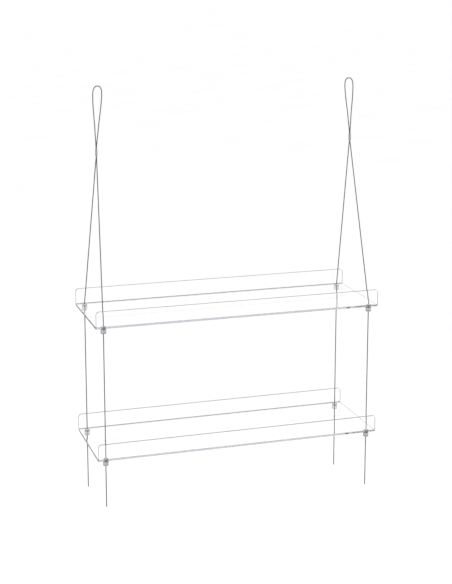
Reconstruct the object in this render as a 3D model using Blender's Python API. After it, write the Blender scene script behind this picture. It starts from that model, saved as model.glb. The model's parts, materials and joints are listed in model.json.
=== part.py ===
"""A two-tier hanging plant shelf: two clear channel trays carried by two slings of thin wire rope.

Each sling is one rope folded into a hanging loop, crimped in a ferrule, and spread as an inverted V to the
front and rear holes at one end of the upper tray. It then runs straight down through both trays and ends in
two plain tails. A self-locking rope grip under every hole carries the tray. Its domed button stands up
through the hole and releases the rope when it is pressed down.

Metres, +Z up, +X along the trays, -Y to the front. The origin is midway between the tops of the two hanging
loops.
"""

import math

import bmesh
import bpy
import numpy as np
from mathutils import Matrix, Vector

MM = 0.001

# The trays
TRAY_LENGTH = 457.2 * MM
TRAY_DEPTH = 152.4 * MM
TRAY_HEIGHT = 28.0 * MM
SHEET = 3.0 * MM
BEND_INSIDE_RADIUS = 1.0 * MM
RAIL_CORNER_RADIUS = 5.0 * MM
HOLE_RADIUS = 3.2 * MM
HOLE_FROM_END = 12.8 * MM
HOLE_FROM_FACE = 8.2 * MM

# How the trays hang, measured down from the tops of the hanging loops
HANG_DROP = 358.0 * MM
TIER_SPACING = 210.0 * MM
HOOK_SPACING = 406.4 * MM
TAIL_BELOW_LOWER_TRAY = {
    ("rear", "left"): 95.5 * MM,
    ("front", "left"): 76.0 * MM,
    ("rear", "right"): 107.5 * MM,
    ("front", "right"): 91.5 * MM,
}

# The wire rope and its crimped ferrules
ROPE_RADIUS = 0.8 * MM
LEG_OFFSET_IN_FERRULE = 1.1 * MM
FERRULE_LENGTH = 10.4 * MM
FERRULE_DROP = {"left": 101.5 * MM, "right": 95.0 * MM}
FERRULE_WALL = 0.6 * MM
FERRULE_CHAMFER = 0.35 * MM
# The hanging loop: share of its height above the ferrule, and its half width there
LOOP_SHAPE = (
    (0.12, 1.1 * MM),
    (0.24, 2.1 * MM),
    (0.36, 2.9 * MM),
    (0.50, 4.3 * MM),
    (0.63, 5.6 * MM),
    (0.75, 6.5 * MM),
    (0.85, 6.9 * MM),
    (0.92, 6.5 * MM),
    (0.95, 5.6 * MM),
    (0.975, 4.0 * MM),
    (0.992, 2.2 * MM),
)
LOOP_TURNED_BY = 0.24

# The rope grips: heights above or depths below the seat that bears on the tray
GRIP_RADIUS = 4.4 * MM
SHELL_LENGTH = 6.5 * MM
SHELL_CHAMFER = 0.3 * MM
GROOVE = (0.6 * MM, 1.4 * MM)
GROOVE_DEPTH = 0.35 * MM
CAP_LENGTH = 1.6 * MM
CAP_ROUNDING = 1.2 * MM
SEAT_GAP = 0.3 * MM
PART_GAP = 0.3 * MM
RELEASE_TRAVEL = 1.0 * MM
BUTTON_RADIUS = 2.8 * MM
BUTTON_TOP_RADIUS = 1.5 * MM
BUTTON_BOTTOM = RELEASE_TRAVEL + PART_GAP
BUTTON_TOP = 4.3 * MM
BUTTON_WALL = 0.6 * MM
NECK_RADIUS = 1.6 * MM
NECK_TOP = BUTTON_TOP - BUTTON_WALL - PART_GAP
ROPE_BORE = ROPE_RADIUS + PART_GAP
JAW_TOP = 1.4 * MM
JAW_BOTTOM = 3.7 * MM
JAW_TOP_RADIUS = 1.85 * MM
JAW_BOTTOM_RADIUS = 2.5 * MM
JAW_SLOT = 0.5 * MM
JAW_SLOT_TOP = 1.0 * MM
JAW_COUNT = 3
SPRING_WIRE_RADIUS = 0.15 * MM
SPRING_COIL_RADIUS = 1.85 * MM
SPRING_TURNS = 2
SPIGOT_LENGTH = 0.8 * MM

# Fineness of the solids
TURNED_SIDES = 16
HOLE_SIDES = 16
ARC_STEPS = 5
ROPE_TURN_STEP = math.radians(7)
ROPE_LONGEST_STEP = 45 * MM
SPRING_STEPS_PER_TURN = 10
CUT_MARGIN = 5 * MM

TIERS = ("upper", "lower")
ROWS = ("front", "rear")
SIDES = ("left", "right")
SIDE_SIGN = {"left": -1, "right": 1}
ROW_SIGN = {"front": -1, "rear": 1}
TRAY_UNDERSIDE = {"upper": -HANG_DROP, "lower": -HANG_DROP - TIER_SPACING}
HOLE_X = TRAY_LENGTH / 2 - HOLE_FROM_END
HOLE_Y = TRAY_DEPTH / 2 - HOLE_FROM_FACE


def material(name, colour, roughness, metallic=0.0, transmission=0.0):
    """A Principled material with one colour and finish."""
    made = bpy.data.materials.new(name)
    made.use_nodes = True
    shader = made.node_tree.nodes["Principled BSDF"]
    shader.inputs["Base Color"].default_value = (*colour, 1.0)
    shader.inputs["Roughness"].default_value = roughness
    shader.inputs["Metallic"].default_value = metallic
    shader.inputs["Transmission Weight"].default_value = transmission
    return made


def add_object(name, data, finish, location=(0, 0, 0)):
    """Links an object with one material, at a place."""
    if not data.materials:
        data.materials.append(finish)
    made = bpy.data.objects.new(name, data)
    made.location = location
    bpy.context.scene.collection.objects.link(made)
    return made


def mesh_from(name, bm):
    """A mesh of a bmesh whose faces all point out, smooth but for its sharp edges."""
    bmesh.ops.recalc_face_normals(bm, faces=bm.faces)
    mesh = bpy.data.meshes.new(name)
    bm.to_mesh(mesh)
    bm.free()
    mesh.shade_smooth()
    mesh.set_sharp_from_angle(angle=math.radians(35))
    return mesh


def prism(name, outline, axis, low, high):
    """A solid of an outline drawn across an axis: (y, z) points across X, or (x, z) points across Y."""
    place = {
        "X": lambda point, along: (along, point[0], point[1]),
        "Y": lambda point, along: (point[0], along, point[1]),
    }[axis]
    bm = bmesh.new()
    face = bm.faces.new([bm.verts.new(place(point, low)) for point in outline])
    grown = bmesh.ops.extrude_face_region(bm, geom=[face])["geom"]
    moved = [item for item in grown if isinstance(item, bmesh.types.BMVert)]
    bmesh.ops.translate(bm, verts=moved, vec=place((0, 0), high - low))
    return mesh_from(name, bm)


def ringed(name, rings):
    """A closed tube-like body through rings of points, the last ring joined to the first."""
    bm = bmesh.new()
    loops = [[bm.verts.new(point) for point in ring] for ring in rings]
    for ring, following in zip(loops, loops[1:] + loops[:1]):
        for i in range(len(ring)):
            j = (i + 1) % len(ring)
            bm.faces.new((ring[i], ring[j], following[j], following[i]))
    return mesh_from(name, bm)


def turned(name, profile):
    """A body turned about Z from a closed profile of (radius, height) points."""
    angles = [math.tau * i / TURNED_SIDES for i in range(TURNED_SIDES)]
    rings = [[(r * math.cos(a), r * math.sin(a), z) for a in angles] for r, z in profile]
    return ringed(name, rings)


def arc(centre, radius, start, end):
    """Points on an arc in a plane, its angles in degrees, both ends included."""
    turns = [math.radians(start + (end - start) * i / ARC_STEPS) for i in range(ARC_STEPS + 1)]
    return [(centre[0] + radius * math.cos(t), centre[1] + radius * math.sin(t)) for t in turns]


def cut(mesh, *cuts):
    """A mesh after Boolean cuts, each given as (operation, cutter mesh)."""
    body = bpy.data.objects.new("body", mesh)
    helpers = [body]
    bpy.context.scene.collection.objects.link(body)
    for operation, cutter_mesh in cuts:
        cutter = bpy.data.objects.new("cutter", cutter_mesh)
        cutter.hide_render = True
        cutter.display_type = "WIRE"
        bpy.context.scene.collection.objects.link(cutter)
        step = body.modifiers.new(operation, "BOOLEAN")
        step.operation = operation
        step.object = cutter
        helpers.append(cutter)
    depsgraph = bpy.context.evaluated_depsgraph_get()
    result = bpy.data.meshes.new_from_object(body.evaluated_get(depsgraph))
    for helper in helpers:
        bpy.data.objects.remove(helper)
    return result


def tray_mesh():
    """A sheet bent up into a channel, its rails' upper corners rounded, with a rope hole at each corner."""
    half = TRAY_DEPTH / 2
    outside = BEND_INSIDE_RADIUS + SHEET
    above = TRAY_HEIGHT + CUT_MARGIN
    channel = [
        (-half, above),
        *arc((-half + outside, outside), outside, 180, 270),
        *arc((half - outside, outside), outside, 270, 360),
        (half, above),
        (half - SHEET, above),
        *arc((half - outside, outside), BEND_INSIDE_RADIUS, 360, 270),
        *arc((-half + outside, outside), BEND_INSIDE_RADIUS, 270, 180),
        (-half + SHEET, above),
    ]
    end = TRAY_LENGTH / 2
    corner = RAIL_CORNER_RADIUS
    front_view = [
        (-end, -CUT_MARGIN),
        (end, -CUT_MARGIN),
        *arc((end - corner, TRAY_HEIGHT - corner), corner, 0, 90),
        *arc((-end + corner, TRAY_HEIGHT - corner), corner, 90, 180),
    ]
    return cut(
        prism("channel", channel, "X", -end - CUT_MARGIN, end + CUT_MARGIN),
        ("INTERSECT", prism("front_view", front_view, "Y", -half - CUT_MARGIN, half + CUT_MARGIN)),
        ("DIFFERENCE", hole_cutters()),
    )


def hole_cutters():
    """One upright cylinder through the tray's floor at each rope hole."""
    bm = bmesh.new()
    for x in (-HOLE_X, HOLE_X):
        for y in (-HOLE_Y, HOLE_Y):
            bmesh.ops.create_cone(
                bm,
                cap_ends=True,
                segments=HOLE_SIDES,
                radius1=HOLE_RADIUS,
                radius2=HOLE_RADIUS,
                depth=4 * SHEET,
                matrix=Matrix.Translation((x, y, SHEET / 2)),
            )
    return mesh_from("hole_cutters", bm)


def shell_mesh():
    """The grip's body: a grooved cylinder, bored for the neck, with a cone narrowing upward for the jaws."""
    taper = (JAW_BOTTOM_RADIUS - JAW_TOP_RADIUS) / (JAW_BOTTOM - JAW_TOP)
    cone_top = JAW_TOP - PART_GAP
    cone_bottom = JAW_BOTTOM + PART_GAP
    bore = JAW_BOTTOM_RADIUS + 2 * PART_GAP
    profile = [
        (NECK_RADIUS + PART_GAP, 0),
        (GRIP_RADIUS - SHELL_CHAMFER, 0),
        (GRIP_RADIUS, -SHELL_CHAMFER),
        (GRIP_RADIUS, -GROOVE[0]),
        (GRIP_RADIUS - GROOVE_DEPTH, -GROOVE[0]),
        (GRIP_RADIUS - GROOVE_DEPTH, -GROOVE[1]),
        (GRIP_RADIUS, -GROOVE[1]),
        (GRIP_RADIUS, -SHELL_LENGTH),
        (bore, -SHELL_LENGTH),
        (bore, -cone_bottom),
        (JAW_BOTTOM_RADIUS + PART_GAP + taper * PART_GAP, -cone_bottom),
        (JAW_TOP_RADIUS + PART_GAP - taper * PART_GAP, -cone_top),
        (NECK_RADIUS + PART_GAP, -cone_top),
    ]
    return turned("shell", profile)


def cap_mesh():
    """The end cap: a rounded disc whose spigot screws up into the shell and holds the spring."""
    top = SHELL_LENGTH + PART_GAP
    spigot = JAW_BOTTOM_RADIUS + PART_GAP
    bottom = top + CAP_LENGTH
    profile = [
        (ROPE_BORE, -top + SPIGOT_LENGTH),
        (spigot, -top + SPIGOT_LENGTH),
        (spigot, -top),
        (GRIP_RADIUS, -top),
        *arc((GRIP_RADIUS - CAP_ROUNDING, -bottom + CAP_ROUNDING), CAP_ROUNDING, 0, -90),
        (ROPE_BORE, -bottom),
    ]
    return turned("cap", profile)


def button_mesh():
    """The domed release button, pressed on the collet's neck above the shell."""
    rise = BUTTON_TOP - BUTTON_BOTTOM - BUTTON_WALL
    sink = BUTTON_RADIUS - BUTTON_TOP_RADIUS
    dome = [
        (BUTTON_TOP_RADIUS + sink * math.cos(turn), BUTTON_TOP - rise + rise * math.sin(turn))
        for turn in (math.radians(90) * i / ARC_STEPS for i in range(ARC_STEPS + 1))
    ]
    profile = [
        (NECK_RADIUS + PART_GAP, BUTTON_BOTTOM),
        (BUTTON_RADIUS, BUTTON_BOTTOM),
        *dome,
        (ROPE_BORE, BUTTON_TOP),
        (ROPE_BORE, BUTTON_TOP - BUTTON_WALL),
        (NECK_RADIUS + PART_GAP, BUTTON_TOP - BUTTON_WALL),
    ]
    return turned("button", profile)


def collet_mesh():
    """The collet: a neck that carries slotted jaws, tapered to bind in the shell's cone."""
    profile = [
        (ROPE_BORE, NECK_TOP),
        (NECK_RADIUS, NECK_TOP),
        (NECK_RADIUS, -JAW_TOP),
        (JAW_TOP_RADIUS, -JAW_TOP),
        (JAW_BOTTOM_RADIUS, -JAW_BOTTOM),
        (ROPE_BORE, -JAW_BOTTOM),
    ]
    slots = bmesh.new()
    for i in range(JAW_COUNT):
        turn = Matrix.Rotation(math.tau * (i / JAW_COUNT + 1 / 32), 4, "Z")
        size = Matrix.Diagonal((2 * JAW_BOTTOM_RADIUS, JAW_SLOT, 2 * (JAW_BOTTOM - JAW_SLOT_TOP), 1))
        shift = Matrix.Translation((JAW_BOTTOM_RADIUS, 0, -JAW_BOTTOM))
        bmesh.ops.create_cube(slots, size=1, matrix=turn @ shift @ size)
    return cut(turned("collet", profile), ("DIFFERENCE", mesh_from("jaw_slots", slots)))


def spring_curve():
    """The spring that pushes the jaws up into the cone."""
    gap = PART_GAP / 2 + SPRING_WIRE_RADIUS
    low = -SHELL_LENGTH - PART_GAP + SPIGOT_LENGTH + gap
    high = -JAW_BOTTOM - gap
    steps = round(SPRING_TURNS * SPRING_STEPS_PER_TURN)
    points = []
    for i in range(steps + 1):
        turn = math.tau * SPRING_TURNS * i / steps
        x = SPRING_COIL_RADIUS * math.cos(turn)
        y = SPRING_COIL_RADIUS * math.sin(turn)
        points.append((x, y, low + (high - low) * i / steps))
    return wire("spring", points, SPRING_WIRE_RADIUS, 1)


def wire(name, points, radius, resolution):
    """A round wire along points, with closed ends."""
    curve = bpy.data.curves.new(name, "CURVE")
    curve.dimensions = "3D"
    curve.resolution_u = 1
    curve.render_resolution_u = 0
    curve.bevel_depth = radius
    curve.bevel_resolution = resolution
    curve.use_fill_caps = True
    spline = curve.splines.new("POLY")
    spline.points.add(len(points) - 1)
    for stored, point in zip(spline.points, points):
        stored.co = (*point, 1)
    return curve


def loop_points(side):
    """Route of a hanging loop from the ferrule's rear leg over the top to its front leg.

    The legs leave the ferrule one behind the other, and the loop turns to face the front as it opens. Its
    middle line leans from the ferrule to the hanging point, in line with the pull of the rope below.
    """
    hanging_x = SIDE_SIGN[side] * HOOK_SPACING / 2
    ferrule_x = ferrule_centre(side)[0]
    base = -FERRULE_DROP[side] + FERRULE_LENGTH / 2
    rear = []
    front = []
    for share, half_width in LOOP_SHAPE:
        turn = math.radians(90) * min(1, share / LOOP_TURNED_BY)
        x = ferrule_x + (hanging_x - ferrule_x) * share
        z = base * (1 - share)
        rear.append((x - half_width * math.sin(turn), half_width * math.cos(turn), z))
        front.append((x + half_width * math.sin(turn), -half_width * math.cos(turn), z))
    top = (hanging_x, 0, -ROPE_RADIUS)
    return rear + [top] + front[::-1]


def leg_points(row, side):
    """Route of one leg from its tail's end, up through both trays, to the top of the ferrule."""
    x = SIDE_SIGN[side] * HOLE_X
    y = ROW_SIGN[row] * HOLE_Y
    lower = TRAY_UNDERSIDE["lower"]
    upper = TRAY_UNDERSIDE["upper"]
    ferrule_x = ferrule_centre(side)[0]
    ferrule_y = ROW_SIGN[row] * LEG_OFFSET_IN_FERRULE
    ferrule_low = -FERRULE_DROP[side] - FERRULE_LENGTH / 2
    bend_start = upper + BUTTON_TOP
    spread = [
        (
            ferrule_x + (x - ferrule_x) * share,
            ferrule_y + (y - ferrule_y) * share,
            ferrule_low + (bend_start - ferrule_low) * share,
        )
        for share in (0.96, 0.90, 0.5, 0.10, 0.04)
    ]
    return [
        (x, y, lower - TAIL_BELOW_LOWER_TRAY[row, side]),
        (x, y, lower - 2 * SHELL_LENGTH),
        (x, y, lower + 3 * BUTTON_TOP),
        (x, y, (lower + upper) / 2),
        (x, y, upper - 2 * SHELL_LENGTH),
        (x, y, bend_start),
        *spread,
        (ferrule_x, ferrule_y, ferrule_low),
        (ferrule_x, ferrule_y, ferrule_low + FERRULE_LENGTH),
    ]


def ferrule_centre(side):
    """The ferrule lies on the line from its end's holes to the hanging loop."""
    share = (HANG_DROP - FERRULE_DROP[side]) / HANG_DROP
    x = HOLE_X + (HOOK_SPACING / 2 - HOLE_X) * share
    return Vector((SIDE_SIGN[side] * x, 0, -FERRULE_DROP[side]))


def smooth_slopes(along, values):
    """Slopes of a curve through values that never swings past them."""
    rise = np.diff(values) / np.diff(along)
    slopes = np.zeros(len(values))
    slopes[0] = rise[0]
    slopes[-1] = rise[-1]
    for i in range(1, len(rise)):
        if rise[i - 1] * rise[i] > 0:
            slopes[i] = 2 / (1 / rise[i - 1] + 1 / rise[i])
    return slopes


def smooth_route(points, step):
    """Points at an even step on the smooth curve through a route's points."""
    points = np.array(points)
    along = np.concatenate([[0], np.cumsum(np.linalg.norm(np.diff(points, axis=0), axis=1))])
    wanted = np.linspace(0, along[-1], round(along[-1] / step) + 1)
    span = np.clip(np.searchsorted(along, wanted) - 1, 0, len(along) - 2)
    width = along[span + 1] - along[span]
    t = (wanted - along[span]) / width
    columns = []
    for values in points.T:
        slopes = smooth_slopes(along, values)
        columns.append(
            values[span] * (2 * t**3 - 3 * t**2 + 1)
            + slopes[span] * width * (t**3 - 2 * t**2 + t)
            + values[span + 1] * (3 * t**2 - 2 * t**3)
            + slopes[span + 1] * width * (t**3 - t**2)
        )
    return np.stack(columns, axis=1)


def thinned(points, most_turn, most_length):
    """The points that a wire needs: one wherever it has turned or run far enough."""
    heading = np.diff(points, axis=0)
    step = np.linalg.norm(heading, axis=1)
    heading = heading / step[:, None]
    turns = np.arccos(np.clip(np.sum(heading[1:] * heading[:-1], axis=1), -1, 1))
    kept = [0]
    turned_by = 0.0
    run = step[0]
    for i in range(1, len(points) - 1):
        turned_by += turns[i - 1]
        if turned_by > most_turn or run > most_length:
            kept.append(i)
            turned_by = 0.0
            run = 0.0
        run += step[i]
    kept.append(len(points) - 1)
    return [tuple(points[i]) for i in kept]


def sling_route(side):
    """A sling's whole route, from the end of its rear tail to the end of its front tail."""
    return leg_points("rear", side) + loop_points(side) + leg_points("front", side)[::-1]


def oval(half_length, half_width, z):
    """A ring with two straight sides and round ends, longer along Y."""
    straight = half_length - half_width
    ring = []
    for i in range(TURNED_SIDES):
        turn = math.tau * (i + 0.5) / TURNED_SIDES
        shift = straight if math.sin(turn) > 0 else -straight
        ring.append((half_width * math.cos(turn), half_width * math.sin(turn) + shift, z))
    return ring


def ferrule_mesh():
    """An oval crimped sleeve around the rope's two legs."""
    bore = ROPE_BORE
    inner = LEG_OFFSET_IN_FERRULE + bore
    outer = inner + FERRULE_WALL
    half = FERRULE_LENGTH / 2
    chamfer = FERRULE_CHAMFER
    rings = [
        oval(inner, bore, -half),
        oval(outer - chamfer, bore + FERRULE_WALL - chamfer, -half),
        oval(outer, bore + FERRULE_WALL, -half + chamfer),
        oval(outer, bore + FERRULE_WALL, half - chamfer),
        oval(outer - chamfer, bore + FERRULE_WALL - chamfer, half),
        oval(inner, bore, half),
    ]
    return ringed("ferrule", rings)


def build():
    for old in list(bpy.data.objects):
        bpy.data.objects.remove(old)
    acrylic = material("clear_acrylic", (0.90, 0.92, 0.96), 0.04, transmission=0.95)
    rope_steel = material("rope_steel", (0.45, 0.43, 0.42), 0.42, metallic=1.0)
    aluminium = material("crimped_aluminium", (0.62, 0.62, 0.70), 0.38, metallic=1.0)
    nickel = material("nickel_plate", (0.72, 0.71, 0.72), 0.22, metallic=1.0)
    bright_nickel = material("bright_nickel", (0.82, 0.82, 0.84), 0.20, metallic=1.0)
    brass = material("brass", (0.72, 0.56, 0.30), 0.30, metallic=1.0)
    spring_steel = material("spring_steel", (0.50, 0.50, 0.52), 0.30, metallic=1.0)

    tray = tray_mesh()
    shell = shell_mesh()
    cap = cap_mesh()
    button = button_mesh()
    collet = collet_mesh()
    spring = spring_curve()
    ferrule = ferrule_mesh()

    for tier in TIERS:
        add_object(f"{tier}_tray", tray, acrylic, (0, 0, TRAY_UNDERSIDE[tier]))
        for row in ROWS:
            for side in SIDES:
                seat = (SIDE_SIGN[side] * HOLE_X, ROW_SIGN[row] * HOLE_Y, TRAY_UNDERSIDE[tier] - SEAT_GAP)
                grip = f"{tier}_{row}_{side}"
                add_object(f"{grip}_grip_shell", shell, nickel, seat)
                add_object(f"{grip}_grip_cap", cap, nickel, seat)
                add_object(f"{grip}_button", button, bright_nickel, seat)
                add_object(f"{grip}_collet", collet, brass, seat)
                add_object(f"{grip}_spring", spring, spring_steel, seat)
    for side in SIDES:
        route = smooth_route(sling_route(side), MM / 2)
        rope = wire(f"{side}_rope", thinned(route, ROPE_TURN_STEP, ROPE_LONGEST_STEP), ROPE_RADIUS, 2)
        add_object(f"{side}_rope", rope, rope_steel)
        add_object(f"{side}_ferrule", ferrule, aluminium, ferrule_centre(side))


build()
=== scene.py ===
"""Looks of the hanging plant shelf: clear trays, wire rope slings, crimped ferrules and rope grips."""

import json
import math

import bmesh
import bpy
import numpy as np
from mathutils import Matrix, Vector

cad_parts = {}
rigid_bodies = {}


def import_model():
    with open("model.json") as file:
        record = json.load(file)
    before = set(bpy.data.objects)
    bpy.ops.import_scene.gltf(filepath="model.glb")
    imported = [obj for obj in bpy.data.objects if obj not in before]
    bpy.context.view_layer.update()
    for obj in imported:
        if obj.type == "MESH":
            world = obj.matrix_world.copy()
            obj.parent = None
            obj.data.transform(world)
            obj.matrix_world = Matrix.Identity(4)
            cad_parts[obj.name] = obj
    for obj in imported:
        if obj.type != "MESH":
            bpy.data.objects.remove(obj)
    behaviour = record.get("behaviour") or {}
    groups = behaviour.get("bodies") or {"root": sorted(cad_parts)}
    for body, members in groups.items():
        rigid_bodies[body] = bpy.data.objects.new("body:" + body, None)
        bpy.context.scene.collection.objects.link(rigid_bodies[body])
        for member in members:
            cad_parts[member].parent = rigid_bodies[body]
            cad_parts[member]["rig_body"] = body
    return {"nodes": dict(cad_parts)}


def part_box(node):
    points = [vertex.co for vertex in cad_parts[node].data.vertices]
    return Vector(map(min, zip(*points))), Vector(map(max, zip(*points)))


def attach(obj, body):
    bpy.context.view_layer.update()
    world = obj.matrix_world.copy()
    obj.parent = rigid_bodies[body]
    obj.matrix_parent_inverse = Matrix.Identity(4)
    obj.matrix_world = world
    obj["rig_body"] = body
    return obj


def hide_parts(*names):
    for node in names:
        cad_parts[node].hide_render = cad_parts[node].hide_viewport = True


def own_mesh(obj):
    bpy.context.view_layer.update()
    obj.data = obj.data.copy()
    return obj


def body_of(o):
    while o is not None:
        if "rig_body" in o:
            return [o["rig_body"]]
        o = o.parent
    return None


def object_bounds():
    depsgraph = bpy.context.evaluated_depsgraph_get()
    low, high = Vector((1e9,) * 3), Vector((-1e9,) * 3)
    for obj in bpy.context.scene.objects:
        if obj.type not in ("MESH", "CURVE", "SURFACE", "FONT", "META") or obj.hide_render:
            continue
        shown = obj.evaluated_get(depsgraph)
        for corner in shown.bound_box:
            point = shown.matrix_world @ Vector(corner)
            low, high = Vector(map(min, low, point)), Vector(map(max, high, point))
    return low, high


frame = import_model()
CAD_BOX = [list(corner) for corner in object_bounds()]
MM = 0.001

TIERS = ("upper", "lower")
ROWS = ("front", "rear")
SIDES = ("left", "right")
SIDE_SIGN = {"left": -1, "right": 1}
ROW_SIGN = {"front": -1, "rear": 1}

# The camera, and the space around the shelf
CAMERA_PLACE = (-0.6589, -2.0859, 0.2248)
CAMERA_PITCH = math.radians(-11.93)
CAMERA_TURN = math.radians(-17.51)
CAMERA_LENS = 87.4
CAMERA_SHIFT_UP = -0.1027
FLOOR_BELOW_TAILS = 0.42
FLOOR_RADIUS = 40.0

# The sheet that the trays are bent from
SHEET = 3.0 * MM
BEND_OUTSIDE_RADIUS = 4.0 * MM
RAIL_CORNER_RADIUS = 5.0 * MM
HOLE_RADIUS = 3.2 * MM
RIM_ROUNDING = 0.45 * MM
RIM_STEPS = 3
BEND_STEPS = 14
CORNER_STEPS = 12
HOLE_STEPS = 48

# How the sheet's faces were worked, each with a painted shade for the dark lines that light bent through
# the sheet makes along its bends and rims; a face that lies flat is clear
FLAT = 0.0
OUTER_BEND = 0.3
INNER_BEND = 0.7
RIM = 1.0
FLAT_TINT = (1.0, 1.0, 1.0)
OUTER_BEND_PAINTED_SHADE = (0.75, 0.75, 0.80)
INNER_BEND_PAINTED_SHADE = (0.14, 0.14, 0.15)
RIM_PAINTED_SHADE = (0.28, 0.28, 0.29)
RIM_ROUGHNESS = 0.55
HANDLING_MARKS = (0.0, 0.02)
BODY_TINT = (0.80, 0.80, 0.92)
BODY_DENSITY = 2.0

# The route of each sling, as the CAD's ropes run
ROPE_RADIUS = 0.8 * MM
HOOK_SPACING = 406.4 * MM
TAIL_BELOW_LOWER_TRAY = {
    ("rear", "left"): 95.5 * MM,
    ("front", "left"): 76.0 * MM,
    ("rear", "right"): 107.5 * MM,
    ("front", "right"): 91.5 * MM,
}
LOOP_SHAPE = (
    (0.12, 1.1 * MM),
    (0.24, 2.1 * MM),
    (0.36, 2.9 * MM),
    (0.50, 4.3 * MM),
    (0.63, 5.6 * MM),
    (0.75, 6.5 * MM),
    (0.85, 6.9 * MM),
    (0.92, 6.5 * MM),
    (0.95, 5.6 * MM),
    (0.975, 4.0 * MM),
    (0.992, 2.2 * MM),
)
LOOP_TURNED_BY = 0.24
LEG_OFFSET_IN_FERRULE = 1.1 * MM

# The strands of the rope, and the painted shade that darkens them from their crowns down into the grooves
STRANDS = 6
STRAND_LAY = 10.5 * MM
STRAND_ARC = (-75, -38, 0, 38, 75)
ROPE_RING_STEP = 0.85 * MM
CROWN_TONE = (0.19, 0.178, 0.166)
SLOPE_PAINTED_SHADE = (0.075, 0.070, 0.066)
GROOVE_PAINTED_SHADE = (0.012, 0.011, 0.010)

# The crimped ferrules
FERRULE_BORE = 0.95 * MM
FERRULE_WALL = 0.75 * MM
FERRULE_LENGTH = 10.4 * MM
FERRULE_LIP = 0.28 * MM
FERRULE_LIP_LENGTH = 0.5 * MM
FERRULE_SIDES = 64
FERRULE_STEPS = 72
CRIMPS = (-3.0 * MM, 0.0, 3.0 * MM)
CRIMP_HALF_WIDTH = 1.15 * MM
CRIMP_DEPTH = 0.30 * MM
CRIMP_SPREAD = 0.3
FLASH_HEIGHT = 0.14 * MM
FLASH_WIDTH = 0.12

# The rope grips: radii, and heights above the seat that bears on the tray
GRIP_RADIUS = 4.4 * MM
GRIP_SIDES = 72
SHELL_LENGTH = 6.5 * MM
GROOVE_TOP = -0.6 * MM
GROOVE_BOTTOM = -1.4 * MM
GROOVE_DEPTH = 0.35 * MM
CAP_LENGTH = 1.6 * MM
CAP_SHOULDER = 2.4 * MM
PART_GAP = 0.3 * MM
ROPE_BORE = 1.1 * MM
NECK_RADIUS = 1.6 * MM
NECK_TOP = 3.4 * MM
BUTTON_RADIUS = 2.8 * MM
BUTTON_TOP_RADIUS = 1.5 * MM
BUTTON_BOTTOM = 1.3 * MM
BUTTON_TOP = 4.3 * MM
BUTTON_WALL = 0.6 * MM
JAW_TOP = -1.4 * MM
JAW_BOTTOM = -3.7 * MM
JAW_TOP_RADIUS = 1.85 * MM
JAW_BOTTOM_RADIUS = 2.5 * MM
JAW_SLOT = 0.5 * MM
JAW_SLOT_TOP = -1.0 * MM
JAW_COUNT = 3
JAW_TEETH = 6
TOOTH_DEPTH = 0.14 * MM
SPIGOT_TOP = -6.0 * MM
SPRING_RADIUS = 1.85 * MM
SPRING_WIRE = 0.15 * MM
SPRING_DEAD_TURNS = 0.75
SPRING_LIVE_TURNS = 2.5
SPRING_STEPS_PER_TURN = 40
SPRING_SIDES = 12
ROUNDING_STEPS = 4
DOME_STEPS = 12

# The metals' grain, in features per metre
METAL_GRAIN = 2500

# The studio; each light has a place, a point that it faces, a size and a power in watts
WORLD_LIGHT = 1.09
LIGHT_BOUNCES = 24
LIGHTS = {
    "key": ((-2.2, -2.0, 1.6), (0, 0, -0.4), (1.6, 1.6), 14),
    "fill": ((2.6, -1.2, 0.6), (0, 0, -0.4), (1.2, 2.0), 8),
    "left_strip": ((-1.5, -1.0, -0.75), (0, 0, -0.45), (0.35, 1.0), 2),
    "right_strip": ((1.4, -1.3, -0.75), (0, 0, -0.45), (0.25, 1.0), 2),
}


# ---------------------------------------------------------------- materials


def principled(name, **values):
    """A new material, its node tree and its shader, with the shader's own sockets set."""
    made = bpy.data.materials.new(name)
    made.use_nodes = True
    shader = made.node_tree.nodes["Principled BSDF"]
    for socket, value in values.items():
        shader.inputs[socket.replace("_", " ")].default_value = value
    return made, made.node_tree, shader


def surface_noise(tree, scale, stretch=(1, 1, 1)):
    """Noise fixed to the piece; scale is in features per metre."""
    place = tree.nodes.new("ShaderNodeTexCoord")
    mapping = tree.nodes.new("ShaderNodeMapping")
    mapping.inputs["Scale"].default_value = stretch
    noise = tree.nodes.new("ShaderNodeTexNoise")
    noise.inputs["Scale"].default_value = scale
    noise.inputs["Detail"].default_value = 3.0
    tree.links.new(place.outputs["Object"], mapping.inputs["Vector"])
    tree.links.new(mapping.outputs["Vector"], noise.inputs["Vector"])
    return noise.outputs["Fac"]


def ramp(tree, source, stops, blend="LINEAR"):
    """A colour ramp over a value, with (position, colour) stops."""
    node = tree.nodes.new("ShaderNodeValToRGB")
    node.color_ramp.interpolation = blend
    elements = node.color_ramp.elements
    while len(elements) < len(stops):
        elements.new(0.5)
    for element, (position, colour) in zip(elements, stops):
        element.position = position
        element.color = (*colour, 1)
    tree.links.new(source, node.inputs["Fac"])
    return node.outputs["Color"]


def spread(tree, source, low, high):
    """A value from noise, spread evenly between two numbers."""
    node = tree.nodes.new("ShaderNodeMapRange")
    node.inputs["From Min"].default_value = 0.3
    node.inputs["From Max"].default_value = 0.7
    node.inputs["To Min"].default_value = low
    node.inputs["To Max"].default_value = high
    tree.links.new(source, node.inputs["Value"])
    return node.outputs["Result"]


def bump(tree, shader, height, distance):
    """Relief of a height, in metres, on a shader."""
    node = tree.nodes.new("ShaderNodeBump")
    node.inputs["Strength"].default_value = 1.0
    node.inputs["Distance"].default_value = distance
    tree.links.new(height, node.inputs["Height"])
    tree.links.new(node.outputs["Normal"], shader.inputs["Normal"])


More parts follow.
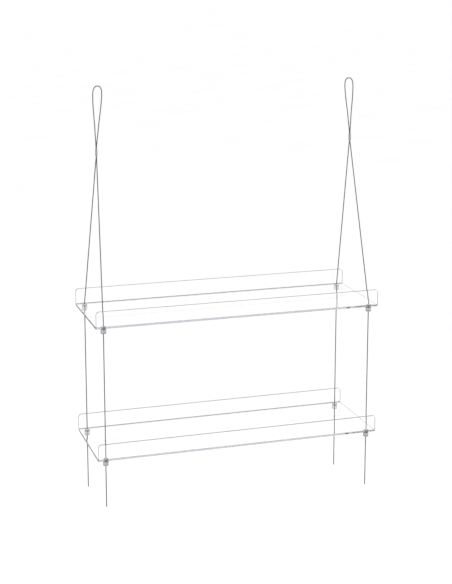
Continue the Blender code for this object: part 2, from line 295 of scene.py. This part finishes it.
def metal(name, dark, light, rough, lathe=None):
    """A metal whose tone and polish vary a little, with turned lines if it has a lathe pitch."""
    made, tree, shader = principled(name, Metallic=1.0)
    tone = surface_noise(tree, METAL_GRAIN / 4)
    tree.links.new(ramp(tree, tone, ((0.3, dark), (0.7, light))), shader.inputs["Base Color"])
    polish = surface_noise(tree, METAL_GRAIN, stretch=(1, 1, 4 if lathe else 1))
    tree.links.new(spread(tree, polish, *rough), shader.inputs["Roughness"])
    if lathe:
        place = tree.nodes.new("ShaderNodeTexCoord")
        lines = tree.nodes.new("ShaderNodeTexWave")
        lines.bands_direction = "Z"
        lines.inputs["Scale"].default_value = 1 / lathe / 3.2
        lines.inputs["Distortion"].default_value = 0.6
        tree.links.new(place.outputs["Object"], lines.inputs["Vector"])
        bump(tree, shader, lines.outputs["Fac"], 0.004 * MM)
    else:
        bump(tree, shader, polish, 0.01 * MM)
    return made


# ---------------------------------------------------------------- mesh work


def mesh_from(name, bm, materials, sharp=35):
    """A mesh of a bmesh with its materials, smooth but for its sharp edges."""
    mesh = bpy.data.meshes.new(name)
    bm.to_mesh(mesh)
    bm.free()
    for item in materials:
        mesh.materials.append(item)
    mesh.shade_smooth()
    mesh.set_sharp_from_angle(angle=math.radians(sharp))
    return mesh


def ringed(name, rings, materials, closed=True, sharp=35):
    """A tube-like body through rings of points, joined end to end or closed with flat caps."""
    bm = bmesh.new()
    loops = [[bm.verts.new(point) for point in ring] for ring in rings]
    following = loops[1:] + (loops[:1] if closed else [])
    for ring, above in zip(loops, following):
        for i in range(len(ring)):
            j = (i + 1) % len(ring)
            bm.faces.new((ring[i], ring[j], above[j], above[i]))
    if not closed:
        bm.faces.new(loops[0][::-1])
        bm.faces.new(loops[-1])
    bmesh.ops.recalc_face_normals(bm, faces=bm.faces)
    return mesh_from(name, bm, materials, sharp)


def turned(name, profile, materials):
    """A body turned about Z from a closed profile of (radius, height) points."""
    angles = [math.tau * i / GRIP_SIDES for i in range(GRIP_SIDES)]
    rings = [[(r * math.cos(a), r * math.sin(a), z) for a in angles] for r, z in profile]
    return ringed(name, rings, materials)


def softened(corners):
    """A closed outline from (radius, height, rounding) corners, each rounding drawn as an arc."""
    outline = []
    for i, (radius, height, rounding) in enumerate(corners):
        here = Vector((radius, height))
        if rounding == 0:
            outline.append((radius, height))
            continue
        back = (Vector(corners[i - 1][:2]) - here).normalized()
        ahead = (Vector(corners[(i + 1) % len(corners)][:2]) - here).normalized()
        half = back.angle(ahead) / 2
        centre = here + (back + ahead).normalized() * rounding / math.sin(half)
        start = here + back * rounding / math.tan(half) - centre
        end = here + ahead * rounding / math.tan(half) - centre
        swing = math.atan2(start.x * end.y - start.y * end.x, start.dot(end))
        for k in range(ROUNDING_STEPS + 1):
            turn = swing * k / ROUNDING_STEPS
            spot = centre + Matrix.Rotation(turn, 2) @ start
            outline.append((spot.x, spot.y))
    return outline


def add_piece(name, mesh, node, place=(0, 0, 0)):
    """A visual piece that stands for a CAD node, and rides on that node's body."""
    made = bpy.data.objects.new(name, mesh)
    made.location = place
    bpy.context.scene.collection.objects.link(made)
    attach(made, body_of(frame["nodes"][node])[0])
    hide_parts(node)
    return made


def weight_normals(piece):
    """Flat faces stay flat beside their small roundings."""
    step = piece.modifiers.new("weighted_normals", "WEIGHTED_NORMAL")
    step.keep_sharp = True
    step.weight = 100


# ---------------------------------------------------------------- where the CAD says things are


def seat(grip):
    """The middle of a grip's top face."""
    low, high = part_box(f"{grip}_grip_shell")
    return Vector(((low.x + high.x) / 2, (low.y + high.y) / 2, high.z))


def tray_underside(tier):
    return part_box(f"{tier}_tray")[0].z


def ferrule_place(side):
    """A ferrule's middle along X, its bottom and its top."""
    low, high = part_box(f"{side}_ferrule")
    return (low.x + high.x) / 2, low.z, high.z


# ---------------------------------------------------------------- trays


def rounded_rectangle(half_x, half_y, radius):
    """Points round a rectangle with rounded corners, anticlockwise."""
    points = []
    for corner, (sx, sy) in enumerate(((1, 1), (-1, 1), (-1, -1), (1, -1))):
        for k in range(CORNER_STEPS + 1):
            turn = math.radians(90) * (corner + k / CORNER_STEPS)
            x = sx * (half_x - radius) + radius * math.cos(turn)
            points.append((x, sy * (half_y - radius) + radius * math.sin(turn)))
    return points


def tray_mesh(materials):
    """A sheet cut flat with its rims rounded over, then folded up into a channel."""
    low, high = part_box("upper_tray")
    length, depth, height = high - low
    middle_radius = BEND_OUTSIDE_RADIUS - SHEET / 2
    bend = middle_radius * math.radians(90)
    floor = depth / 2 - BEND_OUTSIDE_RADIUS
    rail_end = floor + bend + height - BEND_OUTSIDE_RADIUS
    spots = [seat(f"upper_{row}_{side}") for row in ROWS for side in SIDES]

    bm = bmesh.new()
    outlines = [rounded_rectangle(length / 2, rail_end, RAIL_CORNER_RADIUS)]
    for spot in spots:
        turns = [math.tau * k / HOLE_STEPS for k in range(HOLE_STEPS)]
        hole = [(HOLE_RADIUS * math.cos(turn), HOLE_RADIUS * math.sin(turn)) for turn in turns]
        outlines.append([(spot.x + x, spot.y + y) for x, y in hole])
    for outline in outlines:
        verts = [bm.verts.new((x, y, -SHEET / 2)) for x, y in outline]
        for i, vert in enumerate(verts):
            bm.edges.new((vert, verts[(i + 1) % len(verts)]))
    bmesh.ops.triangle_fill(bm, edges=bm.edges, use_beauty=True, normal=(0, 0, 1))
    folds = [floor + bend * k / BEND_STEPS for k in range(BEND_STEPS + 1)]
    for y in [-fold for fold in folds] + folds:
        everything = [*bm.verts, *bm.edges, *bm.faces]
        bmesh.ops.bisect_plane(bm, geom=everything, plane_co=(0, y, 0), plane_no=(0, 1, 0))
    bmesh.ops.recalc_face_normals(bm, faces=bm.faces)
    below = list(bm.faces)
    grown = bmesh.ops.extrude_face_region(bm, geom=below)["geom"]
    top = [item for item in grown if isinstance(item, bmesh.types.BMVert)]
    bmesh.ops.translate(bm, verts=top, vec=(0, 0, SHEET))
    bmesh.ops.recalc_face_normals(bm, faces=bm.faces)
    rims = [
        edge
        for edge in bm.edges
        if len(edge.link_faces) == 2
        and edge.calc_face_angle() > math.radians(80)
        and edge.verts[0].co.z == edge.verts[1].co.z
    ]
    bmesh.ops.bevel(bm, geom=rims, offset=RIM_ROUNDING, segments=RIM_STEPS, profile=0.5, affect="EDGES")
    bm.normal_update()
    # Each face's kind, which sets its painted shade and whether it is a cut rim
    shade_and_cut = []
    for face in bm.faces:
        past_floor = abs(face.calc_center_median().y) - floor
        if abs(face.normal.z) < 0.99:
            shade_and_cut.append(RIM)
        elif 0 < past_floor < bend:
            shade_and_cut.append(INNER_BEND if face.normal.z > 0 else OUTER_BEND)
        else:
            shade_and_cut.append(FLAT)
    for vert in bm.verts:
        vert.co = folded(vert.co, floor, middle_radius, depth)
    mesh = mesh_from("tray", bm, materials, sharp=50)
    mesh.attributes.new("shade_and_cut", "FLOAT", "FACE").data.foreach_set("value", shade_and_cut)
    return mesh


def folded(flat, floor, middle_radius, depth):
    """Where a point of the flat sheet goes when the rails are bent up."""
    x, along, above = flat
    side = math.copysign(1, along)
    past = abs(along) - floor
    bend = middle_radius * math.radians(90)
    if past <= 0:
        return Vector((x, along, SHEET / 2 + above))
    if past >= bend:
        return Vector((x, side * (depth / 2 - SHEET / 2 - above), BEND_OUTSIDE_RADIUS + past - bend))
    turn = past / middle_radius
    radius = middle_radius - above
    y = depth / 2 - BEND_OUTSIDE_RADIUS + radius * math.sin(turn)
    return Vector((x, side * y, BEND_OUTSIDE_RADIUS - radius * math.cos(turn)))


def acrylic():
    """Clear acrylic with fine handling marks, painted shade along its bends and rims, and less polished on
    its cut rims.
    """
    made, tree, shader = principled("clear_acrylic", IOR=1.49, Transmission_Weight=1.0)
    shade_and_cut = tree.nodes.new("ShaderNodeAttribute")
    shade_and_cut.attribute_name = "shade_and_cut"
    # Painted shade: clear on flat faces, lavender grey on the outer bends, near black on the inner bends,
    # grey on the rims
    stops = (
        (FLAT, FLAT_TINT),
        ((FLAT + OUTER_BEND) / 2, OUTER_BEND_PAINTED_SHADE),
        ((OUTER_BEND + INNER_BEND) / 2, INNER_BEND_PAINTED_SHADE),
        ((INNER_BEND + RIM) / 2, RIM_PAINTED_SHADE),
    )
    tree.links.new(ramp(tree, shade_and_cut.outputs["Fac"], stops, "CONSTANT"), shader.inputs["Base Color"])
    marks = spread(tree, surface_noise(tree, 700, stretch=(0.15, 1, 1)), *HANDLING_MARKS)
    cut = tree.nodes.new("ShaderNodeMath")
    cut.operation = "GREATER_THAN"
    cut.inputs[1].default_value = (INNER_BEND + RIM) / 2
    polish = tree.nodes.new("ShaderNodeMath")
    polish.operation = "MULTIPLY_ADD"
    polish.inputs[1].default_value = RIM_ROUGHNESS
    tree.links.new(shade_and_cut.outputs["Fac"], cut.inputs[0])
    tree.links.new(cut.outputs["Value"], polish.inputs[0])
    tree.links.new(marks, polish.inputs[2])
    tree.links.new(polish.outputs["Value"], shader.inputs["Roughness"])
    body = tree.nodes.new("ShaderNodeVolumeAbsorption")
    body.inputs["Color"].default_value = (*BODY_TINT, 1)
    body.inputs["Density"].default_value = BODY_DENSITY
    tree.links.new(body.outputs["Volume"], tree.nodes["Material Output"].inputs["Volume"])
    return made


def make_trays():
    mesh = tray_mesh([acrylic()])
    for tier in TIERS:
        place = (0, 0, tray_underside(tier))
        piece = add_piece(f"{tier}_clear_tray", mesh, f"{tier}_tray", place)
        weight_normals(piece)


# ---------------------------------------------------------------- wire rope slings


def loop_points(side):
    """Route of a hanging loop from the ferrule's rear leg over the top to its front leg.

    The loop turns to face the front as it opens, and its middle line leans from the ferrule to the hanging
    point, in line with the pull of the rope below.
    """
    hanging_x = SIDE_SIGN[side] * HOOK_SPACING / 2
    ferrule_x, _, ferrule_high = ferrule_place(side)
    rear = []
    front = []
    for share, half_width in LOOP_SHAPE:
        turn = math.radians(90) * min(1, share / LOOP_TURNED_BY)
        x = ferrule_x + (hanging_x - ferrule_x) * share
        z = ferrule_high * (1 - share)
        rear.append((x - half_width * math.sin(turn), half_width * math.cos(turn), z))
        front.append((x + half_width * math.sin(turn), -half_width * math.cos(turn), z))
    top = (hanging_x, 0, -ROPE_RADIUS)
    return rear + [top] + front[::-1]


def leg_points(row, side):
    """Route of one leg from its tail's end, up through both trays, to the top of the ferrule."""
    hole = seat(f"upper_{row}_{side}")
    lower = tray_underside("lower")
    upper = tray_underside("upper")
    ferrule_x, ferrule_low, ferrule_high = ferrule_place(side)
    ferrule_y = ROW_SIGN[row] * LEG_OFFSET_IN_FERRULE
    bend_start = upper + BUTTON_TOP
    spread_points = [
        (
            ferrule_x + (hole.x - ferrule_x) * share,
            ferrule_y + (hole.y - ferrule_y) * share,
            ferrule_low + (bend_start - ferrule_low) * share,
        )
        for share in (0.96, 0.90, 0.5, 0.10, 0.04)
    ]
    return [
        (hole.x, hole.y, lower - TAIL_BELOW_LOWER_TRAY[row, side]),
        (hole.x, hole.y, lower - 2 * SHELL_LENGTH),
        (hole.x, hole.y, lower + 3 * BUTTON_TOP),
        (hole.x, hole.y, (lower + upper) / 2),
        (hole.x, hole.y, upper - 2 * SHELL_LENGTH),
        (hole.x, hole.y, bend_start),
        *spread_points,
        (ferrule_x, ferrule_y, ferrule_low),
        (ferrule_x, ferrule_y, ferrule_high),
    ]


def sling_route(side):
    """A sling's whole route, from the end of its rear tail to the end of its front tail."""
    return leg_points("rear", side) + loop_points(side) + leg_points("front", side)[::-1]


def smooth_slopes(along, values):
    """Slopes of a curve through values that never swings past them."""
    rise = np.diff(values) / np.diff(along)
    slopes = np.zeros(len(values))
    slopes[0] = rise[0]
    slopes[-1] = rise[-1]
    for i in range(1, len(rise)):
        if rise[i - 1] * rise[i] > 0:
            slopes[i] = 2 / (1 / rise[i - 1] + 1 / rise[i])
    return slopes


def smooth_route(points, step):
    """Points at an even step on the smooth curve through a route's points."""
    points = np.array(points)
    along = np.concatenate([[0], np.cumsum(np.linalg.norm(np.diff(points, axis=0), axis=1))])
    wanted = np.linspace(0, along[-1], round(along[-1] / step) + 1)
    span = np.clip(np.searchsorted(along, wanted) - 1, 0, len(along) - 2)
    width = along[span + 1] - along[span]
    t = (wanted - along[span]) / width
    columns = []
    for values in points.T:
        slopes = smooth_slopes(along, values)
        columns.append(
            values[span] * (2 * t**3 - 3 * t**2 + 1)
            + slopes[span] * width * (t**3 - 2 * t**2 + t)
            + values[span + 1] * (3 * t**2 - 2 * t**3)
            + slopes[span + 1] * width * (t**3 - t**2)
        )
    return np.stack(columns, axis=1)


def carried_frames(points):
    """At each point of a route, two directions across it that turn as little as they can."""
    heading = np.gradient(points, axis=0)
    heading /= np.linalg.norm(heading, axis=1)[:, None]
    across = np.cross(heading[0], (0.0, 1.0, 0.2))
    frames = []
    for direction in heading:
        across = across - direction * across.dot(direction)
        across /= np.linalg.norm(across)
        frames.append((across, np.cross(direction, across)))
    return frames


def rope_outline():
    """The rope's cross-section: (angle, radius) round its outer strands."""
    strand = ROPE_RADIUS / 3
    outline = []
    for k in range(STRANDS):
        middle = math.tau * k / STRANDS
        for turn in map(math.radians, STRAND_ARC):
            x = 2 * strand + strand * math.cos(turn)
            y = strand * math.sin(turn)
            outline.append((middle + math.atan2(y, x), math.hypot(x, y)))
        half = math.tau / STRANDS / 2
        outline.append((middle + half, 2 * strand * math.cos(half)))
    return outline


def stranded_mesh(name, route, finish):
    """A rope of twisted strands along a route."""
    outline = rope_outline()
    rings = []
    run = 0.0
    for i, (point, (across, up)) in enumerate(zip(route, carried_frames(route))):
        run += np.linalg.norm(point - route[i - 1]) if i else 0.0
        twist = math.tau * run / STRAND_LAY
        turns = [(angle + twist, radius) for angle, radius in outline]
        rings.append([point + r * (math.cos(turn) * across + math.sin(turn) * up) for turn, r in turns])
    mesh = ringed(name, rings, [finish], closed=False, sharp=80)
    # How deep each point lies between the strands, which sets the painted shade in the grooves
    strand_groove_shade = mesh.attributes.new("strand_groove_shade", "FLOAT", "POINT")
    crown = max(r for _, r in outline)
    depth = crown - min(r for _, r in outline)
    shares = [(crown - r) / depth for _, r in outline]
    strand_groove_shade.data.foreach_set("value", shares * len(rings))
    return mesh


def rope_finish():
    """Bright stranded steel, with painted shade darkening the grooves between the strands."""
    made, tree, shader = principled("rope_steel", Metallic=1.0)
    strand_groove_shade = tree.nodes.new("ShaderNodeAttribute")
    strand_groove_shade.attribute_name = "strand_groove_shade"
    # Painted shade: the steel's own tone on the crowns, darker on the slopes, near black in the grooves
    stops = ((0.0, CROWN_TONE), (0.5, SLOPE_PAINTED_SHADE), (1.0, GROOVE_PAINTED_SHADE))
    tree.links.new(ramp(tree, strand_groove_shade.outputs["Fac"], stops), shader.inputs["Base Color"])
    grain = surface_noise(tree, 3000)
    tree.links.new(spread(tree, grain, 0.32, 0.50), shader.inputs["Roughness"])
    bump(tree, shader, grain, 0.01 * MM)
    return made


def make_slings():
    finish = rope_finish()
    crimped = metal("crimped_aluminium", (0.28, 0.27, 0.34), (0.40, 0.39, 0.46), (0.30, 0.45))
    for side in SIDES:
        route = smooth_route(sling_route(side), ROPE_RING_STEP)
        mesh = stranded_mesh(f"{side}_wire_rope", route, finish)
        rope = add_piece(f"{side}_wire_rope", mesh, f"{side}_rope")
        low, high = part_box(f"{side}_ferrule")
        sleeve = ferrule_mesh(crimped)
        middle = (low + high) / 2
        ferrule = add_piece(f"{side}_crimped_ferrule", sleeve, f"{side}_ferrule", middle)


# ---------------------------------------------------------------- ferrules


def oval(half_length, half_width, z, flash=0.0):
    """A ring with two straight sides and round ends, longer along Y, with a pressed seam at each end."""
    straight = half_length - half_width
    ring = []
    for i in range(FERRULE_SIDES):
        turn = math.tau * (i + 0.5) / FERRULE_SIDES
        seam = flash * math.exp(-((math.cos(turn) / FLASH_WIDTH) ** 2))
        shift = math.copysign(straight + seam, math.sin(turn))
        ring.append((half_width * math.cos(turn), half_width * math.sin(turn) + shift, z))
    return ring


def bite_at(z):
    """How far the crimping tool has pressed the sleeve at a height, from 0 to 1."""
    pressed = [crimp for crimp in CRIMPS if abs(z - crimp) < CRIMP_HALF_WIDTH]
    return sum(math.cos(math.radians(90) * (z - crimp) / CRIMP_HALF_WIDTH) ** 2 for crimp in pressed)


def ferrule_mesh(finish):
    """A sleeve pressed on the rope's two legs in three bites, its metal spread sideways by each bite."""
    inner = LEG_OFFSET_IN_FERRULE + FERRULE_BORE
    half = FERRULE_LENGTH / 2
    rings = []
    for k in range(FERRULE_STEPS + 1):
        z = -half + FERRULE_LENGTH * k / FERRULE_STEPS
        bite = bite_at(z)
        from_end = min(1.0, (half - abs(z)) / FERRULE_LIP_LENGTH)
        lip = FERRULE_LIP * (1 - math.sqrt(1 - (1 - from_end) ** 2))
        width = FERRULE_BORE + FERRULE_WALL - CRIMP_DEPTH * bite - lip
        length = inner + FERRULE_WALL + CRIMP_SPREAD * CRIMP_DEPTH * bite - lip
        rings.append(oval(length, width, z, FLASH_HEIGHT * bite))
    rings.append(oval(inner, FERRULE_BORE, half))
    rings.append(oval(inner, FERRULE_BORE, -half))
    return ringed("crimped_ferrule", rings, [finish])


# ---------------------------------------------------------------- rope grips


def shell_mesh(plate, groove_painted_shade):
    """The grip's body, with a grip groove near its top that carries painted shade, and a cone inside that
    closes the jaws.
    """
    floor = GRIP_RADIUS - GROOVE_DEPTH
    taper = (JAW_BOTTOM_RADIUS - JAW_TOP_RADIUS) / (JAW_TOP - JAW_BOTTOM)
    bore = JAW_BOTTOM_RADIUS + 2 * PART_GAP
    cone_bottom = JAW_BOTTOM_RADIUS + (1 + taper) * PART_GAP
    cone_top = JAW_TOP_RADIUS + (1 - taper) * PART_GAP
    corners = [
        (NECK_RADIUS + PART_GAP, 0, 0.12 * MM),
        (GRIP_RADIUS, 0, 0.28 * MM),
        (GRIP_RADIUS, GROOVE_TOP, 0.10 * MM),
        (floor, GROOVE_TOP, 0.08 * MM),
        (floor, GROOVE_BOTTOM, 0.08 * MM),
        (GRIP_RADIUS, GROOVE_BOTTOM, 0.10 * MM),
        (GRIP_RADIUS, -SHELL_LENGTH, 0.14 * MM),
        (bore, -SHELL_LENGTH, 0.14 * MM),
        (bore, JAW_BOTTOM - PART_GAP, 0),
        (cone_bottom, JAW_BOTTOM - PART_GAP, 0),
        (cone_top, JAW_TOP + PART_GAP, 0),
        (NECK_RADIUS + PART_GAP, JAW_TOP + PART_GAP, 0),
    ]
    mesh = turned("grip_shell", softened(corners), [plate, groove_painted_shade])
    # The groove's faces take a near black painted shade
    for face in mesh.polygons:
        radius = math.hypot(face.center.x, face.center.y)
        if bore < radius < floor + 0.05 * MM and GROOVE_BOTTOM < face.center.z < GROOVE_TOP:
            face.material_index = 1
    return mesh


def cap_mesh(plate):
    """The rounded end cap, with the spigot that holds the spring."""
    top = -SHELL_LENGTH - PART_GAP
    bottom = top - CAP_LENGTH
    spigot = JAW_BOTTOM_RADIUS + PART_GAP
    corners = [
        (ROPE_BORE, SPIGOT_TOP, 0.1 * MM),
        (spigot, SPIGOT_TOP, 0.12 * MM),
        (spigot, top, 0),
        (GRIP_RADIUS, top, 0.1 * MM),
    ]
    for k in range(DOME_STEPS + 1):
        turn = math.radians(90) * k / DOME_STEPS
        radius = GRIP_RADIUS - CAP_SHOULDER * (1 - math.cos(turn))
        corners.append((radius, bottom + (CAP_LENGTH - 0.2 * MM) * (1 - math.sin(turn)), 0))
    corners += [(ROPE_BORE + 0.2 * MM, bottom, 0), (ROPE_BORE, bottom + 0.2 * MM, 0)]
    return turned("grip_cap", softened(corners), [plate])


def button_mesh(plate):
    """The domed release button, with a lip at its foot and a countersunk rope hole."""
    rise = BUTTON_TOP - BUTTON_BOTTOM - BUTTON_WALL
    sink = BUTTON_RADIUS - BUTTON_TOP_RADIUS - 0.1 * MM
    corners = [
        (NECK_RADIUS + PART_GAP, BUTTON_BOTTOM, 0.08 * MM),
        (BUTTON_RADIUS, BUTTON_BOTTOM, 0.15 * MM),
        (BUTTON_RADIUS, BUTTON_BOTTOM + 0.45 * MM, 0),
    ]
    for k in range(DOME_STEPS + 1):
        turn = math.radians(90) * k / DOME_STEPS
        radius = BUTTON_TOP_RADIUS + sink * math.cos(turn)
        corners.append((radius, BUTTON_TOP - rise * (1 - math.sin(turn)), 0))
    corners += [
        (ROPE_BORE + 0.15 * MM, BUTTON_TOP, 0),
        (ROPE_BORE, BUTTON_TOP - 0.15 * MM, 0),
        (ROPE_BORE, BUTTON_TOP - BUTTON_WALL, 0),
        (NECK_RADIUS + PART_GAP, BUTTON_TOP - BUTTON_WALL, 0),
    ]
    return turned("button", softened(corners), [plate])


def collet_mesh(brass):
    """A neck that carries slotted jaws, their bore cut with teeth that bite the rope."""
    outline = [
        (ROPE_BORE, NECK_TOP),
        (NECK_RADIUS - 0.1 * MM, NECK_TOP),
        (NECK_RADIUS, NECK_TOP - 0.1 * MM),
        (NECK_RADIUS, JAW_TOP + 0.1 * MM),
        (NECK_RADIUS + 0.1 * MM, JAW_TOP),
        (JAW_TOP_RADIUS, JAW_TOP),
        (JAW_BOTTOM_RADIUS, JAW_BOTTOM + 0.12 * MM),
        (JAW_BOTTOM_RADIUS - 0.12 * MM, JAW_BOTTOM),
        (ROPE_BORE + 0.1 * MM, JAW_BOTTOM),
    ]
    pitch = (JAW_TOP - JAW_BOTTOM) / JAW_TEETH
    for k in range(JAW_TEETH):
        low = JAW_BOTTOM + pitch * k
        outline.append((ROPE_BORE, low + 0.1 * pitch))
        outline.append((ROPE_BORE - TOOTH_DEPTH, low + 0.8 * pitch))
    outline.append((ROPE_BORE, JAW_TOP))
    body = bpy.data.objects.new("collet", turned("collet", outline, [brass]))
    bm = bmesh.new()
    for k in range(JAW_COUNT):
        turn = Matrix.Rotation(math.tau * (k / JAW_COUNT + 1 / 32), 4, "Z")
        size = Matrix.Diagonal((2 * JAW_BOTTOM_RADIUS, JAW_SLOT, 2 * (JAW_SLOT_TOP - JAW_BOTTOM), 1))
        shift = Matrix.Translation((JAW_BOTTOM_RADIUS, 0, JAW_BOTTOM))
        bmesh.ops.create_cube(bm, size=1, matrix=turn @ shift @ size)
    saw = bpy.data.objects.new("saw", mesh_from("saw", bm, [brass]))
    for helper in (body, saw):
        bpy.context.scene.collection.objects.link(helper)
    step = body.modifiers.new("slots", "BOOLEAN")
    step.operation = "DIFFERENCE"
    step.object = saw
    depsgraph = bpy.context.evaluated_depsgraph_get()
    mesh = bpy.data.meshes.new_from_object(body.evaluated_get(depsgraph))
    for helper in (body, saw):
        bpy.data.objects.remove(helper)
    mesh.set_sharp_from_angle(angle=math.radians(35))
    return mesh


def spring_mesh(steel):
    """The spring under the jaws, its end coils closed so that they sit flat."""
    clear = PART_GAP / 2 + SPRING_WIRE
    low = SPIGOT_TOP + clear
    high = JAW_BOTTOM - clear
    closed_rise = SPRING_DEAD_TURNS * 2.1 * SPRING_WIRE
    turns = 2 * SPRING_DEAD_TURNS + SPRING_LIVE_TURNS
    knots = [0, SPRING_DEAD_TURNS, turns - SPRING_DEAD_TURNS, turns]
    heights = [low, low + closed_rise, high - closed_rise, high]
    rings = []
    steps = round(turns * SPRING_STEPS_PER_TURN)
    for i in range(steps + 1):
        wound = turns * i / steps
        angle = math.tau * wound
        z = float(np.interp(wound, knots, heights))
        out = Vector((math.cos(angle), math.sin(angle), 0))
        ring = []
        for k in range(SPRING_SIDES):
            turn = math.tau * k / SPRING_SIDES
            rise = Vector((0, 0, z + SPRING_WIRE * math.sin(turn)))
            ring.append(out * (SPRING_RADIUS + SPRING_WIRE * math.cos(turn)) + rise)
        rings.append(ring)
    return ringed("spring", rings, [steel], closed=False)


def make_grips():
    plate = metal("nickel_plate", (0.34, 0.335, 0.35), (0.46, 0.455, 0.47), (0.24, 0.38), lathe=0.12 * MM)
    # Painted shade for the dark band round each grip's top
    groove_painted_shade = metal("groove_shade", (0.035, 0.034, 0.036), (0.07, 0.068, 0.07), (0.45, 0.6))
    bright = metal("bright_nickel", (0.52, 0.52, 0.54), (0.66, 0.66, 0.68), (0.08, 0.18), lathe=0.08 * MM)
    brass = metal("brass", (0.48, 0.34, 0.13), (0.62, 0.46, 0.20), (0.22, 0.36), lathe=0.15 * MM)
    steel = metal("spring_steel", (0.22, 0.22, 0.23), (0.34, 0.34, 0.36), (0.18, 0.32))
    parts = {
        "grip_shell": (shell_mesh(plate, groove_painted_shade), "grip_body"),
        "grip_cap": (cap_mesh(plate), "grip_body"),
        "button": (button_mesh(bright), "button"),
        "collet": (collet_mesh(brass), "collet"),
        "spring": (spring_mesh(steel), "spring"),
    }
    for tier in TIERS:
        for row in ROWS:
            for side in SIDES:
                grip = f"{tier}_{row}_{side}"
                place = seat(grip)
                for part, (mesh, slot) in parts.items():
                    piece = add_piece(f"{grip}_fine_{part}", mesh, f"{grip}_{part}", place)
                    if part == "spring":
                        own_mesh(piece)


# ---------------------------------------------------------------- stage


def make_camera():
    data = bpy.data.cameras.new("camera")
    data.lens = CAMERA_LENS
    data.shift_y = CAMERA_SHIFT_UP
    camera = bpy.data.objects.new("camera", data)
    camera.location = CAMERA_PLACE
    camera.rotation_euler = (math.radians(90) + CAMERA_PITCH, 0, CAMERA_TURN)
    bpy.context.scene.collection.objects.link(camera)
    bpy.context.scene.camera = camera


def make_floor():
    bm = bmesh.new()
    bmesh.ops.create_circle(bm, cap_ends=True, segments=96, radius=FLOOR_RADIUS)
    made, tree, shader = principled("floor_paper", Roughness=0.9)
    tone = surface_noise(tree, 3)
    stops = ((0.3, (0.90, 0.90, 0.90)), (0.7, (0.92, 0.92, 0.92)))
    tree.links.new(ramp(tree, tone, stops), shader.inputs["Base Color"])
    floor = bpy.data.objects.new("floor", mesh_from("floor", bm, [made]))
    floor.location.z = CAD_BOX[0][2] - FLOOR_BELOW_TAILS
    bpy.context.scene.collection.objects.link(floor)


def area_light(name, place, aim, size, power):
    """A soft rectangular light that faces a point."""
    data = bpy.data.lights.new(name, "AREA")
    data.shape = "RECTANGLE"
    data.size, data.size_y = size
    data.energy = power
    lamp = bpy.data.objects.new(name, data)
    lamp.location = place
    lamp.rotation_euler = (Vector(aim) - Vector(place)).to_track_quat("-Z", "Y").to_euler()
    lamp.visible_camera = False
    bpy.context.scene.collection.objects.link(lamp)


def set_bounces():
    """Light crosses the clear sheet's edges many times before it comes out."""
    cycles = bpy.context.scene.cycles
    cycles.max_bounces = LIGHT_BOUNCES
    cycles.glossy_bounces = LIGHT_BOUNCES
    cycles.transmission_bounces = LIGHT_BOUNCES


def make_light():
    world = bpy.data.worlds.new("studio")
    bpy.context.scene.world = world
    world.use_nodes = True
    background = world.node_tree.nodes["Background"]
    background.inputs["Color"].default_value = (1, 1, 1, 1)
    background.inputs["Strength"].default_value = WORLD_LIGHT
    for name, (place, aim, size, power) in LIGHTS.items():
        area_light(name, place, aim, size, power)
    bpy.context.scene.view_settings.view_transform = "Standard"


make_camera()
make_floor()
make_light()
set_bounces()
make_slings()
make_trays()
make_grips()
